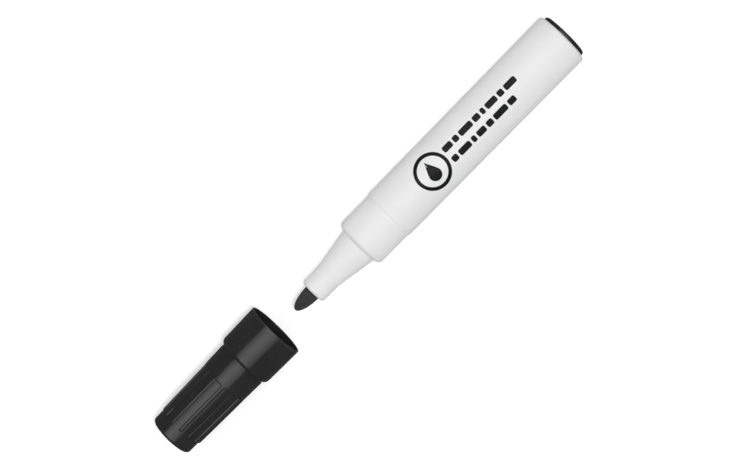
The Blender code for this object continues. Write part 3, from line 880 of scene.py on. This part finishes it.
bpy.ops.object.select_all(action="DESELECT")
bpy.ops.mesh.primitive_plane_add(size=BAR_HEIGHT, location=(ROWS_START, 0, DRAWN_AT))
bars = bpy.context.object
bars.name = bars.data.name = "print_bars"
bpy.ops.object.transform_apply(location=True, rotation=True, scale=True)
bpy.ops.object.mode_set(mode="EDIT")
bpy.ops.mesh.select_all(action="SELECT")
bpy.ops.mesh.delete(type="VERT")
for row_y, lengths in ROWS:
    start = ROWS_START
    for length in lengths:
        length *= MM
        middle = (start + length / 2, row_y, DRAWN_AT)
        bpy.ops.mesh.primitive_plane_add(size=BAR_HEIGHT, location=middle)
        bpy.ops.transform.resize(value=(length / BAR_HEIGHT, 1, 1), center_override=middle)
        bpy.ops.mesh.bevel(offset=BAR_CORNER, segments=6, affect="VERTICES")
        bpy.ops.mesh.select_all(action="DESELECT")
        start += length + BAR_GAP

for row_y, _ in ROWS:
    for cut in range(1, CUTS):
        y = row_y + BAR_HEIGHT * (cut / CUTS - 0.5)
        bpy.ops.mesh.select_all(action="SELECT")
        bpy.ops.mesh.bisect(plane_co=(0, y, DRAWN_AT), plane_no=(0, 1, 0))
face_up()
lay_on_barrel(bars)

# %% [markdown]
# ## Dressing the pieces
#
# Each piece gets its finish, rides on the body it belongs to, and stands for one solid of the frame.

# %% Materials, bodies and slots
for piece, material, body, stands_for, slot in (
    (barrel, white, "marker_body", "barrel", "white_shell"),
    (holder, white, "marker_body", "nib_holder", "white_shell"),
    (nib, fibre, "marker_body", "nib", "nib_fibre"),
    (plug, black, "marker_body", "tail_plug", "black_shell"),
    (cap, black, "cap", "cap", "black_shell"),
    (cup, seal, "inner_cap", "inner_cap", "seal_plastic"),
    (ring, ink, "marker_body", None, "black_shell"),
    (drop, ink, "marker_body", None, "black_shell"),
    (bars, ink, "marker_body", None, "black_shell"),
):
    piece.data.materials.clear()
    piece.data.materials.append(material)
    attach(piece, body)
    if stands_for:
        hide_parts(stands_for)
    print(f"{piece.name} rides on {body}")

# %% [markdown]
# ## Floor
#
# The marker lies on a white sweep that is lit so brightly that it burns out, with only a trace of
# shadow beside the pieces. The lights do most of that, and a dim glow in the floor itself does the rest.
# The floor leaves no reflection, so the undersides of the black pieces stay dark.

# %% Floor
FLOOR_SIZE = 6
FLOOR_GLOW = 0.35
lowest = AXIS - MOUTH_RADIUS
bpy.ops.object.select_all(action="DESELECT")
bpy.ops.mesh.primitive_plane_add(size=FLOOR_SIZE, location=(0, 0, lowest))
floor = bpy.context.object
floor.name = "studio_floor"
paper = Finish("white_sweep", {"Roughness": 0.9, "Specular IOR Level": 0.0, "Emission Color": grey(1.0)})
paper.shader.inputs["Emission Strength"].default_value = FLOOR_GLOW
mottle = paper.noise(40 * MM)
paper.feed("Base Color", paper.mix(mottle, grey(0.84), grey(0.86)))
floor.data.materials.append(paper.material)
floor.visible_glossy = False

# %% [markdown]
# ## Lights
#
# Six long softboxes hang over the marker, in line with it, each inside the last. Black plastic mirrors
# them as one long band: the widest sets the width of the band, and the narrower ones make it brightest
# in the middle. They hang a little to one side, and each narrower one a little further, so the band
# fades more slowly on one flank of the cap than on the other.
#
# A small key light gives the thin shadow its edge, and two low fills light the flanks. They leave no
# reflection, so the band stays clean.

# %% Lights
LIGHT_HEIGHT = 0.75
SOFTBOX_LENGTH = 1.6
SOFTBOX_SHIFT = 0.055  # how far the widest box hangs to one side
SHIFT_STEP = 0.01  # how much further each next box hangs
LOWER_STEP = 0.004  # how far each next box hangs below the last
# The angle that each box fills either side of straight up, in degrees, and how bright its face is
HALF_ANGLES = (34, 29, 23, 17, 11, 6)
GLOWS = (0.5, 0.22, 0.2, 0.17, 0.14, 0.1)
KEY_SIZE = (0.12, 0.12)
KEY_PLACE = (0.05, -0.085, AXIS + LIGHT_HEIGHT)
KEY_GLOW = 52
FILL_SIZE = (SOFTBOX_LENGTH, 0.4)
FILL_AWAY = 0.6
FILL_HEIGHT = 0.3
FILL_GLOW = 0.15
WORLD_GLOW = 0.1


def area_light(name, place, size, glow, in_gloss=True):
    """A rectangle of light that faces the marker's middle. Glow is how bright its face looks."""
    bpy.ops.object.light_add(type="AREA", location=place)
    light = bpy.context.object
    light.name = name
    light.rotation_euler = (Vector(place) - Vector((0, 0, AXIS))).to_track_quat("Z", "Y").to_euler()
    light.data.shape = "RECTANGLE"
    light.data.size, light.data.size_y = size
    light.data.energy = glow * size[0] * size[1] * math.pi
    light.visible_glossy = in_gloss
    return light


for index, (half_angle, glow) in enumerate(zip(HALF_ANGLES, GLOWS)):
    high = LIGHT_HEIGHT - index * LOWER_STEP
    width = 2 * high * math.tan(math.radians(half_angle))
    box = area_light(f"softbox_{index + 1}", (0, 0, AXIS + high), (SOFTBOX_LENGTH, width), glow)
    box.location.y = SOFTBOX_SHIFT + index * SHIFT_STEP

area_light("key", KEY_PLACE, KEY_SIZE, KEY_GLOW, in_gloss=False)
for side in (-1, 1):
    place = (0, side * FILL_AWAY, AXIS + FILL_HEIGHT)
    area_light(f"fill_{side}", place, FILL_SIZE, FILL_GLOW, in_gloss=False)

world = bpy.data.worlds.new("studio")
world.use_nodes = True
sky = world.node_tree.nodes["Background"]
sky.inputs["Color"].default_value = grey(1.0)
sky.inputs["Strength"].default_value = WORLD_GLOW
bpy.context.scene.world = world
bpy.context.scene.view_settings.view_transform = "Standard"

# %% [markdown]
# ## Camera
#
# The camera looks almost straight down, from a little behind the middle, through a long lens. It is
# rolled so that the marker climbs from the lower left to the upper right. The roll is worked out from
# where the marker's own axis should point in the picture.

# %% Camera
CAMERA_REACH = 603 * MM
CAMERA_FOOT = SEAM + 28.7 * MM
AIM = Vector((SEAM - 8.8 * MM, -0.3 * MM, AXIS))
SLOPE = math.radians(45.53)
LENS = 93.8
SENSOR = 36

eye_height = math.sqrt(CAMERA_REACH**2 - (CAMERA_FOOT - AIM.x) ** 2)
eye = Vector((CAMERA_FOOT, AIM.y, AXIS + eye_height))
back = (eye - AIM).normalized()
along = (Vector((1, 0, 0)) - back * back.x).normalized()
across = back.cross(along)
right = along * math.cos(SLOPE) - across * math.sin(SLOPE)
up = along * math.sin(SLOPE) + across * math.cos(SLOPE)

bpy.ops.object.camera_add()
camera = bpy.context.object
camera.name = "camera"
camera.matrix_world = Matrix.Translation(eye) @ Matrix((right, up, back)).transposed().to_4x4()
camera.data.lens = LENS
camera.data.sensor_width = SENSOR
camera.data.clip_start, camera.data.clip_end = 0.01, 50
bpy.context.scene.camera = camera
print(f"camera {eye.z:.3f} m up, tilted {math.degrees(math.acos(back.z)):.1f} degrees")
